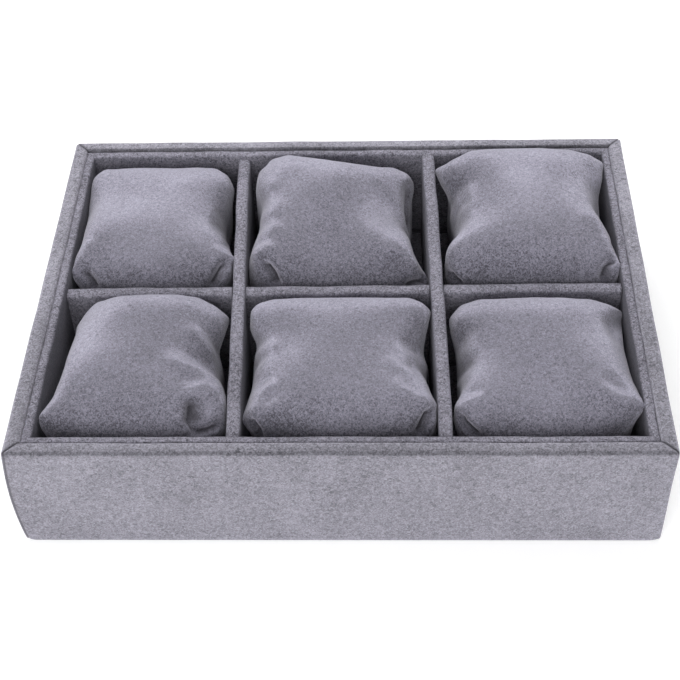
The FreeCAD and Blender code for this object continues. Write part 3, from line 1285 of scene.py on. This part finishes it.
@dataclass
class Pillow:
    """One stuffed pillow, fitted to its cell and to its outline in the photograph."""

    row: Row
    column: Column
    outline: tuple[tuple[Pixel, ...], ...]
    ears: tuple[Ear, ...]
    folds: tuple[Fold, ...]
    seed: float
    droops: tuple[Droop, ...] = ()
    fill: float = 0.75
    grid: int = 34
    grid_angle: float = math.pi / 4.4
    cover_thickness: float = 1.3
    rim_slant: float = 0.35
    rim_clearance: float = 2.0
    outline_reaches: tuple[float, float] = (18.0, 4.5)
    outline_rounds: tuple[int, int] = (8, 3)
    outline_ease: float = 0.15
    longest_move: float = 6.0
    swell: Wave = Wave(0.55, 19.0, 0.0)
    longest_ear: float = 12.0
    ear_search: float = 14.0
    ear_search_step: float = 0.5
    fold_search: float = 600.0
    softness: float = 1.3
    soft_taper: tuple[float, float] = (2.6, 0.12)
    tuck_taper: tuple[float, float] = (5.0, 0.25)
    tuck_shade: float = 0.9
    tuck_shade_width: float = 0.6
    lip_height: float = 1.1
    lip_place: float = 1.5
    lip_width: float = 1.2
    lip_reach: float = 4.0
    softest: float = 0.4

    @property
    def name(self) -> str:
        """The pillow's name, which is also its body's."""
        return f"{self.row.value}_{self.column.value}_pillow"

    def _cube_grid(self) -> tuple[np.ndarray, list[tuple[int, ...]]]:
        """Makes a cube whose six sides are even grids.

        Returns:
            Its points and faces.
        """
        made = bmesh.new()
        bmesh.ops.create_cube(made, size=2.0)
        bmesh.ops.subdivide_edges(made, edges=made.edges[:], cuts=self.grid - 1, use_grid_fill=True)
        made.verts.index_update()
        points = np.array([v.co[:] for v in made.verts])
        faces = [tuple(v.index for v in f.verts) for f in made.faces]
        made.free()
        return points, faces

    def _cast_on_form(self, directions: np.ndarray, form: Object) -> np.ndarray:
        """Lays the grid on the pillow's form, from its middle outwards.

        Args:
            directions: the grid's points on a cube.
            form: the filling in the frame.

        Returns:
            The points on the cover, in millimetres.
        """
        low, high = node_box_mm(form.name)
        middle = Vector((low + high) / 2)
        corners = [v.co / MM for v in form.data.vertices]
        tree = BVHTree.FromPolygons(corners, [p.vertices[:] for p in form.data.polygons])
        spread = np.tan(directions * self.grid_angle) / math.tan(self.grid_angle)
        points = []
        for direction in spread * ((high - low) / 2):
            hit = tree.ray_cast(middle, Vector(direction))[0]
            points.append(hit + Vector(direction).normalized() * self.cover_thickness)
        return np.array([p[:] for p in points])

    def _seen_rim(self, mesh: Mesh, camera: PhotoCamera) -> np.ndarray:
        """Finds the vertices where the pillow turns away from the camera and nothing of it hides them.

        Args:
            mesh: the pillow's mesh.
            camera: the photograph's camera.

        Returns:
            A flag for each vertex.
        """
        points = mesh_points_mm(mesh)
        views, distances = camera.views(points)
        rim = np.abs((views * mesh_normals(mesh)).sum(axis=1)) < self.rim_slant
        tree = mesh_tree(mesh)
        for number in np.flatnonzero(rim):
            hit = tree.ray_cast(Vector(camera.eye), Vector(views[number]))[3]
            rim[number] = hit is None or hit > distances[number] - self.rim_clearance
        return rim

    def _fit_outline(self, mesh: Mesh, camera: PhotoCamera, reach: float) -> None:
        """Draws the pillow's rim, as the camera sees it, to the photographed outline.

        Args:
            mesh: the pillow's mesh.
            camera: the photograph's camera.
            reach: how far a pull on the rim is felt, in millimetres.
        """
        points = mesh_points_mm(mesh)
        eye = np.array(camera.eye)
        rim = self._seen_rim(mesh, camera)
        seen = camera.project(points)
        anchors = []
        moves = []
        for pixel in (p for path in self.outline for p in dense_path(path)):
            gap = np.linalg.norm(seen - np.array(pixel), axis=1)
            nearest = points[int(np.argmin(np.where(rim, gap, np.inf)))]
            ray = camera.ray(pixel)
            target = eye + ray * float((nearest - eye) @ ray)
            anchors.append(nearest)
            moves.append(shortened(target - nearest, self.longest_move))
        anchors = np.array(anchors)
        gaps = np.linalg.norm(anchors[:, None] - anchors[None], axis=2)
        kernel = np.exp(-((gaps / reach) ** 2)) + self.outline_ease * np.eye(len(anchors))
        weights = np.linalg.solve(kernel, np.array(moves))
        spread = np.linalg.norm(points[:, None] - anchors[None], axis=2)
        set_mesh_points_mm(mesh, points + np.exp(-((spread / reach) ** 2)) @ weights)

    def _let_droop(self, points: np.ndarray, camera: PhotoCamera) -> np.ndarray:
        """Lets the hanging parts sink away from the camera, so that their outline stays.

        Args:
            points: the pillow's vertices.
            camera: the photograph's camera.

        Returns:
            The moved vertices.
        """
        for droop in self.droops:
            off = np.linalg.norm(camera.project(points) - np.array(droop.pixel), axis=1)
            views, _ = camera.views(points)
            points = points + views * (droop.depth * np.exp(-((off / droop.spread_px) ** 2)))[:, None]
        return points

    def _draw_ears(
        self, points: np.ndarray, normals: np.ndarray, camera: PhotoCamera, cell: Cell
    ) -> np.ndarray:
        """Draws the corners out to their tips.

        Args:
            points: the pillow's vertices.
            normals: their normals.
            camera: the photograph's camera.
            cell: the cell that the tips stay in.

        Returns:
            The moved vertices.
        """
        eye = np.array(camera.eye)
        for ear in self.ears:
            views, _ = camera.views(points)
            facing = (views * normals).sum(axis=1) < self.rim_slant
            gap = np.linalg.norm(camera.project(points) - np.array(ear.tip), axis=1)
            nearest = points[int(np.argmin(np.where(facing, gap, np.inf)))]
            ray = camera.ray(ear.tip)
            run = float((nearest - eye) @ ray)
            for back in np.arange(0.0, self.ear_search, self.ear_search_step):
                tip = eye + ray * (run - back)
                if cell.holds(tip):
                    break
            away = np.linalg.norm(points - nearest, axis=1)
            move = shortened(tip - nearest, self.longest_ear)
            points = points + np.exp(-away / ear.spread)[:, None] * move
        return points

    def _trace(self, fold: Fold, mesh: Mesh, camera: PhotoCamera) -> np.ndarray:
        """Lays a fold's path on the pillow.

        Args:
            fold: the fold.
            mesh: the pillow's mesh.
            camera: the photograph's camera.

        Returns:
            Points along the path, in millimetres.
        """
        tree = mesh_tree(mesh)
        eye = Vector(camera.eye)
        path = []
        for pixel in dense_path(fold.path):
            ray = Vector(camera.ray(pixel))
            hit = tree.ray_cast(eye, ray)[0]
            if hit is None:
                hit = tree.find_nearest(eye + ray * self.fold_search)[0]
            path.append(hit[:])
        return np.array(path)

    def _press(
        self, fold: Fold, away: np.ndarray, place: np.ndarray, side: np.ndarray
    ) -> tuple[np.ndarray, np.ndarray]:
        """Works out what a fold does to points near it.

        Args:
            fold: the fold.
            away: the points' distances from its path.
            place: their places along it, from 0 to 1.
            side: their distances to its left.

        Returns:
            How far each point is lifted, and how much painted shade it gets.
        """
        tucked = fold.kind is TUCK
        width = fold.width if tucked else fold.width * self.softness
        slope, least = self.tuck_taper if tucked else self.soft_taper
        taper = np.clip(np.minimum(place, 1 - place) * slope + least, 0, 1)
        if not tucked:
            taper = taper * taper * (3 - 2 * taper)
        dent = np.exp(-((away / width) ** 2)) * taper
        if fold.kind is RIDGE:
            return fold.depth * dent, np.zeros(len(away))
        # Painted shade: a valley is darkened along its path, a tuck in its mouth.
        if fold.kind is VALLEY:
            return -fold.depth * dent, fold.shade * dent
        off_lip = (side - self.lip_place * width) / (self.lip_width * width)
        lip = np.exp(-(off_lip**2)) * taper * (away < self.lip_reach * width)
        shade = self.tuck_shade * np.exp(-((away / (self.tuck_shade_width * width)) ** 2)) * taper
        return -fold.depth * dent + self.lip_height * lip, shade

    def _press_folds(self, mesh: Mesh, camera: PhotoCamera) -> None:
        """Presses the pillow's folds into its mesh and paints shade along them.

        Args:
            mesh: the pillow's mesh.
            camera: the photograph's camera.
        """
        # Painted shade in the folds, kept in the seam attribute.
        closed = np.zeros(len(mesh.vertices))
        for fold in self.folds:
            points = mesh_points_mm(mesh)
            normals = mesh_normals(mesh)
            path = self._trace(fold, mesh, camera)
            lift, shade = self._press(fold, *self._from_path(points, path, normals))
            closed = np.maximum(closed, shade)
            set_mesh_points_mm(mesh, points + normals * lift[:, None])
        mark_seam_and_shade(mesh, closed)

    @staticmethod
    def _from_path(
        points: np.ndarray, path: np.ndarray, normals: np.ndarray
    ) -> tuple[np.ndarray, np.ndarray, np.ndarray]:
        """How points lie to a path on a surface.

        Args:
            points: the points.
            path: the path's points in order.
            normals: the surface's normals at the points.

        Returns:
            Each point's distance, its place along the path from 0 to 1, and its signed distance to the left.
        """
        best = np.full(len(points), np.inf)
        place = np.zeros(len(points))
        side = np.zeros(len(points))
        lengths = np.linalg.norm(np.diff(path, axis=0), axis=1)
        total = max(lengths.sum(), TINY)
        run = 0.0
        for k, length in enumerate(lengths):
            if length < TINY:
                continue
            direction = (path[k + 1] - path[k]) / length
            along = np.clip((points - path[k]) @ direction, 0, length)
            off = points - (path[k] + along[:, None] * direction)
            away = np.linalg.norm(off, axis=1)
            closer = away < best
            best = np.where(closer, away, best)
            place = np.where(closer, (run + along) / total, place)
            left = np.cross(normals, direction)
            side = np.where(closer, (off * left).sum(axis=1), side)
            run += length
        return best, place, side

    def _pressed(self, gap: np.ndarray) -> np.ndarray:
        """Turns distances to a wall, below 0 beyond it, into distances that come softly to rest on it."""
        return self.softest * np.logaddexp(0.0, gap / self.softest)

    def _keep_in_cell(self, points: np.ndarray, cell: Cell) -> np.ndarray:
        """Keeps the pillow off the walls of its cell.

        Args:
            points: the pillow's vertices.
            cell: the cell.

        Returns:
            The vertices inside the cell.
        """
        kept = points.copy()
        left, right = cell.faces_at(points[:, 1])
        low = left + cell.room
        high = right - cell.room
        from_left = low + self._pressed(points[:, 0] - low)
        kept[:, 0] = np.where(points[:, 2] < cell.left_top, from_left, kept[:, 0])
        from_right = high - self._pressed(high - kept[:, 0])
        kept[:, 0] = np.where(points[:, 2] < cell.right_top, from_right, kept[:, 0])
        front, back = cell.ends_at(points[:, 0])
        low = front + cell.room
        high = back - cell.room
        kept[:, 1] = low + self._pressed(points[:, 1] - low)
        kept[:, 1] = high - self._pressed(high - kept[:, 1])
        kept[:, 2] = np.maximum(kept[:, 2], cell.floor + cell.room)
        return kept

    @staticmethod
    def _subdivide(piece: Object) -> None:
        """Makes the pillow's mesh finer with one smooth subdivision.

        Args:
            piece: the pillow.
        """
        modifier = piece.modifiers.new("finer", "SUBSURF")
        modifier.levels = 1
        modifier.render_levels = 1
        finer = piece.evaluated_get(bpy.context.evaluated_depsgraph_get())
        points = mesh_points_mm(finer.data)
        faces = [tuple(p.vertices) for p in finer.data.polygons]
        piece.modifiers.remove(modifier)
        piece.data.clear_geometry()
        fill_mesh(piece.data, points, faces)

    def build(
        self, form: Object, cell: Cell, camera: PhotoCamera, material: Material
    ) -> Object:
        """Makes the pillow and lays it in its cell.

        Args:
            form: the filling in the frame.
            cell: the cell that it lies in.
            camera: the photograph's camera.
            material: the velvet.

        Returns:
            The piece.
        """
        directions, faces = self._cube_grid()
        points = self._cast_on_form(directions, form)
        piece = mesh_object(self.name + "_cushion", points, faces)
        mesh = piece.data
        for _ in range(self.outline_rounds[0]):
            self._fit_outline(mesh, camera, self.outline_reaches[0])
        points = mesh_points_mm(mesh)
        set_mesh_points_mm(mesh, points + mesh_normals(mesh) * self.swell.at(points, self.seed)[:, None])
        self._subdivide(piece)
        for _ in range(self.outline_rounds[1]):
            self._fit_outline(mesh, camera, self.outline_reaches[1])
        set_mesh_points_mm(mesh, self._let_droop(mesh_points_mm(mesh), camera))
        set_mesh_points_mm(mesh, self._draw_ears(mesh_points_mm(mesh), mesh_normals(mesh), camera, cell))
        self._press_folds(mesh, camera)
        set_mesh_points_mm(mesh, self._keep_in_cell(mesh_points_mm(mesh), cell))
        mesh.materials.append(material)
        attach(piece, self.name)
        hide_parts(self.name + "_cover", self.name + "_filling")
        return piece


PILLOWS = (
    Pillow(
        Row.BACK, Column.LEFT,
        outline=(
            (
                *((72, 268), (80, 250), (86, 230), (88, 210), (91, 187)),
                *((94, 178), (104, 170), (136, 168), (193, 169)),
            ),
            ((193, 169), (207, 168), (217, 169), (228, 176), (234, 188)),
            ((72, 277), (76, 283), (81, 289)),
        ),
        ears=(Ear((71.5, 272)), Ear((235.4, 259))),
        folds=(
            Fold(RIDGE, ((191, 218), (209, 232), (223, 243), (234, 254)), 3.9, 1.7),
            Fold(VALLEY, ((202, 214), (218, 226), (232, 238)), 3.4, 1.4),
            Fold(VALLEY, ((214, 204), (224, 218), (232, 228)), 3.0, 0.9),
            Fold(RIDGE, ((96, 238), (84, 253), (75, 266)), 3.4, 0.9),
            Fold(TUCK, ((226, 262), (219, 274), (213, 288)), 2.0, 5.0),
            Fold(TUCK, ((86, 270), (92, 280), (96, 290)), 1.9, 4.0),
        ),
        seed=1.0,
        droops=(Droop((155, 285), 40.0, -4.0),),
    ),
    Pillow(
        Row.BACK, Column.MIDDLE,
        outline=(
            ((250, 258), (257, 248), (259, 237), (262, 219), (257, 205), (256, 192), (259, 173), (273, 159)),
            ((273, 159), (288, 155), (321, 159), (378, 167), (397, 169), (407, 174), (413, 182), (413, 196)),
            ((413, 196), (409, 214), (407, 232), (412, 253), (420, 271), (427, 277)),
        ),
        ears=(Ear((250, 261)), Ear((428, 279))),
        folds=(
            Fold(RIDGE, ((258, 238), (270, 231), (284, 222)), 3.6, 0.8),
            Fold(RIDGE, ((262, 218), (275, 208), (290, 199)), 3.9, 0.8),
            Fold(RIDGE, ((258, 196), (268, 186), (280, 178)), 3.4, 0.8),
            Fold(VALLEY, ((256, 206), (266, 199), (278, 192)), 3.2, 0.5),
            Fold(VALLEY, ((258, 228), (266, 222), (277, 215)), 3.0, 0.5),
            Fold(VALLEY, ((256, 245), (264, 240), (273, 236)), 3.0, 0.5),
            Fold(RIDGE, ((251, 262), (257, 254), (270, 250), (280, 243)), 3.2, 1.4),
            Fold(RIDGE, ((382, 236), (398, 252), (412, 266), (426, 278)), 3.9, 1.2),
            Fold(RIDGE, ((373, 174), (394, 194), (403, 224), (412, 250)), 3.2, 1.5),
            # Painted shade darkens the right flank along this valley.
            Fold(VALLEY, ((405, 180), (410, 198), (408, 214), (409, 236)), 2.6, 2.6, 0.45),
            Fold(TUCK, ((263, 263), (272, 273), (277, 287)), 2.2, 5.5),
            # A broad, shallow valley that paints shade over the middle.
            Fold(VALLEY, ((366, 209), (380, 217), (395, 232)), 6.0, 0.3, 0.26),
            Fold(TUCK, ((426, 280), (416, 283), (405, 287)), 1.8, 3.6),
        ),
        seed=2.0,
        droops=(Droop((413, 192), 11.0, 6.0), Droop((335, 240), 45.0, 8.0), Droop((335, 190), 28.0, -2.3)),
    ),
    Pillow(
        Row.BACK, Column.RIGHT,
        outline=(
            ((445, 267), (446, 258), (449, 246), (452, 234), (453, 224), (453, 214), (450, 203), (446, 194)),
            ((446, 194), (440, 183), (436, 171), (451, 161)),
            ((451, 161), (470, 151), (490, 149), (540, 148), (570, 150), (590, 155), (603, 164)),
            ((603, 164), (602, 180), (598, 200), (600, 224), (608, 242), (619, 260)),
        ),
        ears=(Ear((435, 171), 4.0), Ear((620, 265)), Ear((444.5, 268))),
        folds=(
            Fold(RIDGE, ((450, 225), (457, 213), (470, 203), (483, 196)), 3.7, 1.4),
            Fold(VALLEY, ((451, 218), (460, 205), (474, 196)), 3.0, 1.4),
            Fold(VALLEY, ((450, 196), (464, 184), (480, 173)), 3.4, 1.0),
            Fold(RIDGE, ((577, 210), (596, 220), (607, 239), (616, 254)), 3.9, 1.5),
            Fold(VALLEY, ((580, 196), (592, 205), (600, 216)), 3.2, 1.0),
            Fold(TUCK, ((614, 258), (606, 268), (604, 283)), 2.0, 4.8),
            Fold(TUCK, ((449, 272), (454, 279), (462, 286)), 1.9, 3.4),
        ),
        seed=3.0,
        droops=(Droop((520, 152), 28.0, 5.0),),
    ),
    Pillow(
        Row.FRONT, Column.LEFT,
        outline=(
            (
                *((40, 416), (53, 398), (62, 375), (70, 350), (78, 329)),
                *((86, 313), (96, 303), (118, 296.5), (146, 294.5)),
            ),
            ((146, 294.5), (177, 294.5), (198, 297.5), (215, 306), (229, 319)),
            ((229, 319), (224, 340), (222, 362), (225, 385), (227, 402), (228, 420)),
            ((39, 421), (43, 431), (48, 438)),
        ),
        ears=(Ear((38, 418)), Ear((229, 320), 3.5)),
        folds=(
            Fold(RIDGE, ((177, 325), (194, 335), (208, 348), (218, 360)), 3.4, 1.5),
            Fold(VALLEY, ((196, 327), (211, 336), (223, 354)), 3.2, 1.4),
            Fold(RIDGE, ((156, 356), (177, 363), (198, 371), (215, 382), (225, 396)), 3.4, 1.7),
            Fold(VALLEY, ((180, 352), (200, 360), (216, 370)), 3.2, 1.1),
            Fold(RIDGE, ((188, 382), (208, 388), (221, 398)), 2.8, 1.2),
            Fold(VALLEY, ((178, 375), (194, 380), (206, 384)), 2.5, 0.9),
            # Painted shade fills the pocket near the front right corner.
            Fold(VALLEY, ((191, 396), (191, 412), (196, 428)), 2.4, 2.6, 0.8),
            Fold(TUCK, ((194, 432), (187, 421), (190, 402)), 1.4, 1.4),
            Fold(TUCK, ((219, 425), (206, 430), (194, 432)), 1.5, 2.0),
        ),
        seed=4.0,
    ),
    Pillow(
        Row.FRONT, Column.MIDDLE,
        outline=(
            ((243, 420), (250, 406), (253, 385), (254, 363), (255, 348), (250, 328), (251, 311), (258, 304)),
            ((258, 304), (272, 299.5), (301, 298), (357, 297.5), (410, 298), (424, 304), (431, 312)),
            ((431, 312), (427, 330), (423, 352), (425, 379), (429, 396), (436, 405)),
            ((245, 424), (251, 431), (257, 437)),
        ),
        ears=(Ear((242, 421)), Ear((437, 406))),
        folds=(
            Fold(RIDGE, ((255, 358), (265, 350), (284, 342)), 3.4, 1.1),
            Fold(VALLEY, ((252, 346), (265, 339), (280, 334)), 3.0, 1.1),
            Fold(RIDGE, ((254, 380), (261, 366), (276, 357)), 3.4, 1.0),
            Fold(VALLEY, ((254, 366), (262, 358), (274, 351)), 2.5, 0.9),
            Fold(RIDGE, ((250, 407), (261, 393), (279, 381)), 3.4, 1.1),
            Fold(VALLEY, ((254, 392), (264, 380), (276, 372)), 2.8, 1.0),
            Fold(RIDGE, ((244, 419), (251, 413), (269, 409), (286, 394)), 3.0, 1.4),
            Fold(VALLEY, ((258, 404), (268, 400), (280, 390)), 2.3, 1.0),
            Fold(RIDGE, ((381, 340), (404, 350), (418, 360), (425, 371)), 3.4, 1.4),
            Fold(VALLEY, ((395, 336), (416, 350), (424, 362)), 3.0, 1.4),
            Fold(RIDGE, ((383, 356), (404, 367), (420, 378), (427, 391)), 3.4, 1.4),
            Fold(VALLEY, ((396, 357), (412, 366), (423, 377)), 2.5, 1.0),
            Fold(RIDGE, ((389, 381), (410, 391), (424, 402), (436, 407)), 3.2, 1.4),
            Fold(VALLEY, ((398, 379), (414, 387), (426, 396)), 2.5, 1.0),
            Fold(TUCK, ((433, 410), (425, 421), (418, 437)), 2.0, 4.8),
            Fold(TUCK, ((250, 420), (256, 428), (260, 437)), 1.9, 4.0),
        ),
        seed=5.0,
    ),
    Pillow(
        Row.FRONT, Column.RIGHT,
        outline=(
            ((454, 416), (457, 403), (459, 389), (457, 369), (456, 347), (450, 332), (449, 319), (462, 305)),
            ((462, 305), (477, 300), (517, 298), (561, 297.5), (594, 300), (612, 306), (623, 314)),
            ((623, 314), (622, 330), (624, 350), (631, 376), (637, 394), (646, 405)),
            ((646, 408), (638, 416), (633, 426), (630, 437)),
        ),
        ears=(Ear((649, 405), 3.5), Ear((453, 418))),
        folds=(
            Fold(VALLEY, ((456, 346), (464, 334), (476, 322)), 3.2, 1.1),
            Fold(RIDGE, ((458, 364), (467, 355), (484, 347)), 3.4, 1.0),
            Fold(VALLEY, ((457, 378), (466, 369), (480, 362)), 2.8, 0.9),
            Fold(RIDGE, ((457, 389), (466, 379), (484, 371)), 3.4, 1.1),
            Fold(VALLEY, ((459, 400), (470, 393), (484, 387)), 2.5, 1.0),
            Fold(RIDGE, ((454, 418), (459, 410), (474, 402), (491, 395)), 3.0, 1.4),
            Fold(VALLEY, ((600, 310), (612, 330), (620, 348)), 3.2, 1.0),
            Fold(RIDGE, ((580, 376), (606, 392), (625, 402), (645, 406)), 3.4, 1.4),
            Fold(VALLEY, ((600, 374), (616, 384), (632, 396)), 2.8, 1.0),
            Fold(TUCK, ((460, 415), (463, 423), (471, 430), (480, 437)), 1.8, 4.4),
        ),
        seed=6.0,
        droops=(Droop((622, 322), 12.0, 14.0), Droop((540, 385), 40.0, 5.0)),
    ),
)


@dataclass(frozen=True)
class Lamp:
    """A soft square lamp that points at the middle of the tray."""

    name: str
    place: Point
    size: float
    watts: float

    def build(self) -> None:
        """Makes the lamp."""
        data = bpy.data.lights.new(self.name, "AREA")
        data.shape = "SQUARE"
        data.size = self.size
        data.energy = self.watts
        lamp = bpy.data.objects.new(self.name, data)
        lamp.location = self.place
        lamp.rotation_euler = (-Vector(self.place)).to_track_quat("-Z", "Y").to_euler()
        bpy.context.scene.collection.objects.link(lamp)


@dataclass(frozen=True)
class Studio:
    """The white sweep that the tray stands on, and the light on it. Its lengths are metres."""

    lamps: tuple[Lamp, ...] = (
        Lamp("back_glow", (0.0, 0.62, 0.55), 0.7, 5.3),
        Lamp("front_fill", (-0.2, -1.2, 0.6), 1.2, 22.0),
        Lamp("left_fill", (-1.3, -0.1, 0.2), 0.9, 3.5),
        Lamp("right_fill", (1.3, -0.1, 0.2), 0.9, 3.5),
    )
    horizon_strength: float = 0.25
    zenith_strength: float = 0.35
    floor_half: float = 3.0
    floor_level_mm: float = -0.05
    floor_colour: Colour = (0.9, 0.9, 0.9, 1.0)
    floor_roughness: float = 0.9
    floor_glow: float = 0.24
    shadow_reach: float = 0.32
    white_from: float = 0.75

    def build(self) -> None:
        """Makes the floor, the world and the lamps."""
        self._floor()
        self._world()
        for lamp in self.lamps:
            lamp.build()
        bpy.context.scene.view_settings.view_transform = "Standard"

    def _floor(self) -> None:
        """A pale floor that the camera sees as white, apart from the tray's shadow."""
        half = self.floor_half / MM
        square = ((-1, -1), (1, -1), (1, 1), (-1, 1))
        corners = [(x * half, y * half, self.floor_level_mm) for x, y in square]
        floor = mesh_object("floor", np.array(corners), [(0, 1, 2, 3)])
        material, sketch, shader = blank_material("white_sweep")
        place = sketch.add("ShaderNodeTexCoord").outputs["Object"]
        distance = sketch.add("ShaderNodeVectorMath", {0: place}, operation="LENGTH").outputs["Value"]
        whiten = sketch.map_range(distance, self.floor_glow, 1.0, self.shadow_reach, self.white_from)
        seen = sketch.add("ShaderNodeLightPath").outputs["Is Camera Ray"]
        dressed = {
            "Base Color": self.floor_colour,
            "Roughness": self.floor_roughness,
            "Specular IOR Level": 0.0,
            "Emission Color": WHITE,
            "Emission Strength": sketch.math("MULTIPLY", seen, whiten),
        }
        sketch.feed(shader, dressed)
        floor.data.materials.append(material)

    def _world(self) -> None:
        """Even white light all round, seen as white by the camera."""
        world = bpy.data.worlds.new("studio_sky")
        world.use_nodes = True
        sketch = NodeSketch(world.node_tree)
        place = sketch.add("ShaderNodeTexCoord").outputs["Generated"]
        height = sketch.add("ShaderNodeSeparateXYZ", {"Vector": place}).outputs["Z"]
        fall = sketch.map_range(height, self.horizon_strength, self.zenith_strength)
        seen = sketch.add("ShaderNodeLightPath").outputs["Is Camera Ray"]
        sky = world.node_tree.nodes["Background"]
        sketch.feed(sky, {"Color": WHITE, "Strength": sketch.mix(fall, 1.0, seen)})
        bpy.context.scene.world = world


def main() -> None:
    """Builds the tray, the pillows and the studio, and reports each piece."""
    logging.basicConfig(level=logging.INFO, format="%(name)s: %(message)s")
    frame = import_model()
    nodes = frame["nodes"]
    camera = PhotoCamera()
    camera.build()
    Studio().build()
    tray = TrayBody(nodes)
    for piece in tray.build():
        LOG.info("%s has %d faces", piece.name, len(piece.data.polygons))
    velvet = PILLOW_VELVET.material()
    for pillow in PILLOWS:
        cell = Cell.from_tray(tray, pillow.row, pillow.column)
        piece = pillow.build(nodes[pillow.name + "_filling"], cell, camera, velvet)
        LOG.info("%s has %d faces", piece.name, len(piece.data.polygons))


if __name__ == "__main__":
    main()
